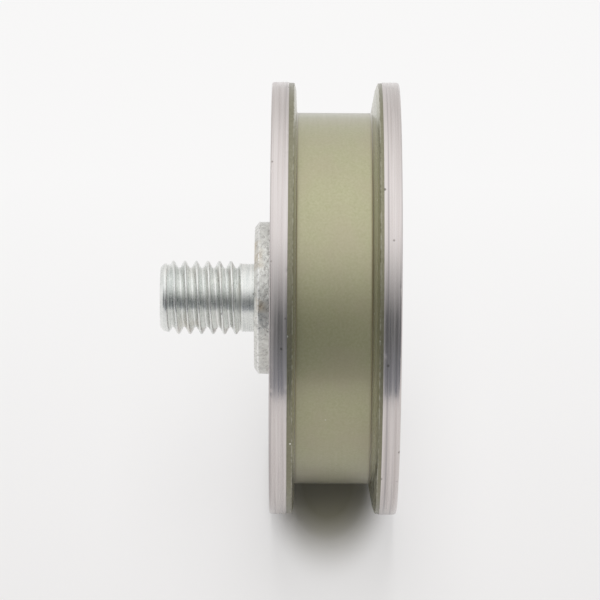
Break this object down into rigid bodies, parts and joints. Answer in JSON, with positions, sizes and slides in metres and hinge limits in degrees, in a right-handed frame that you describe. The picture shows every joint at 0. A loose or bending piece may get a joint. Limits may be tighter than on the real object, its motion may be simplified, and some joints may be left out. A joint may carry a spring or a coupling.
{
  "type": "groove track wheel",
  "caption": "Steel track wheel with a flat-bottomed groove, turning on a shielded ball bearing around a fixed threaded stud with a round collar.",
  "frame": {"origin": "on the wheel's axis, at the plain side face that the wheel stands on", "axes": "+Z along the axis, from the plain side face towards the tip of the threaded stud; +X through the gap of the retaining ring"},
  "size_m": [0.047, 0.047, 0.0257],
  "materials": {
    "turned_wheel_steel": "turned bright rims, olive coated groove",
    "zinc_plated_steel": "zinc plated",
    "ground_bearing_steel": "ground",
    "polished_ball_steel": "polished",
    "pressed_cage_steel": "pressed sheet",
    "shield_steel": "pressed sheet",
    "phosphated_spring_steel": "dark phosphate"
  },
  "bodies": {
    "axle": {"axle_stud": "zinc_plated_steel", "inner_ring": "ground_bearing_steel", "tail_washer": "zinc_plated_steel"},
    "wheel": {"wheel_body": "turned_wheel_steel", "outer_ring": "ground_bearing_steel", "shield_upper": "shield_steel", "shield_lower": "shield_steel", "retaining_ring": "phosphated_spring_steel"},
    "cage": {"cage_upper": "pressed_cage_steel", "cage_lower": "pressed_cage_steel", "cage_rivets": "pressed_cage_steel"},
    "ball_1": {"ball_1": "polished_ball_steel"},
    "ball_2": {"ball_2": "polished_ball_steel"},
    "ball_3": {"ball_3": "polished_ball_steel"},
    "ball_4": {"ball_4": "polished_ball_steel"},
    "ball_5": {"ball_5": "polished_ball_steel"},
    "ball_6": {"ball_6": "polished_ball_steel"},
    "ball_7": {"ball_7": "polished_ball_steel"},
    "ball_8": {"ball_8": "polished_ball_steel"}
  },
  "joints": [
    {"name": "wheel_spin", "type": "hinge", "parent": "axle", "child": "wheel", "pos_m": [0, 0, 0.0079], "axis": [0, 0, 1], "continuous": true},
    {"name": "cage_spin", "type": "hinge", "parent": "axle", "child": "cage", "pos_m": [0, 0, 0.0079], "axis": [0, 0, 1], "continuous": true},
    {"name": "ball_1_spin", "type": "hinge", "parent": "cage", "child": "ball_1", "pos_m": [0.01, 0, 0.0079], "axis": [0, 0, 1], "continuous": true},
    {"name": "ball_2_spin", "type": "hinge", "parent": "cage", "child": "ball_2", "pos_m": [0.00707, 0.00707, 0.0079], "axis": [0, 0, 1], "continuous": true},
    {"name": "ball_3_spin", "type": "hinge", "parent": "cage", "child": "ball_3", "pos_m": [0, 0.01, 0.0079], "axis": [0, 0, 1], "continuous": true},
    {"name": "ball_4_spin", "type": "hinge", "parent": "cage", "child": "ball_4", "pos_m": [-0.00707, 0.00707, 0.0079], "axis": [0, 0, 1], "continuous": true},
    {"name": "ball_5_spin", "type": "hinge", "parent": "cage", "child": "ball_5", "pos_m": [-0.01, 0, 0.0079], "axis": [0, 0, 1], "continuous": true},
    {"name": "ball_6_spin", "type": "hinge", "parent": "cage", "child": "ball_6", "pos_m": [-0.00707, -0.00707, 0.0079], "axis": [0, 0, 1], "continuous": true},
    {"name": "ball_7_spin", "type": "hinge", "parent": "cage", "child": "ball_7", "pos_m": [0, -0.01, 0.0079], "axis": [0, 0, 1], "continuous": true},
    {"name": "ball_8_spin", "type": "hinge", "parent": "cage", "child": "ball_8", "pos_m": [0.00707, -0.00707, 0.0079], "axis": [0, 0, 1], "continuous": true}
  ],
  "couplings": [
    {"joint": "cage_spin", "follows": "wheel_spin", "ratio": 0.61905},
    {"joint": "ball_1_spin", "follows": "wheel_spin", "ratio": 1.9809},
    {"joint": "ball_2_spin", "follows": "wheel_spin", "ratio": 1.9809},
    {"joint": "ball_3_spin", "follows": "wheel_spin", "ratio": 1.9809},
    {"joint": "ball_4_spin", "follows": "wheel_spin", "ratio": 1.9809},
    {"joint": "ball_5_spin", "follows": "wheel_spin", "ratio": 1.9809},
    {"joint": "ball_6_spin", "follows": "wheel_spin", "ratio": 1.9809},
    {"joint": "ball_7_spin", "follows": "wheel_spin", "ratio": 1.9809},
    {"joint": "ball_8_spin", "follows": "wheel_spin", "ratio": 1.9809}
  ]
}
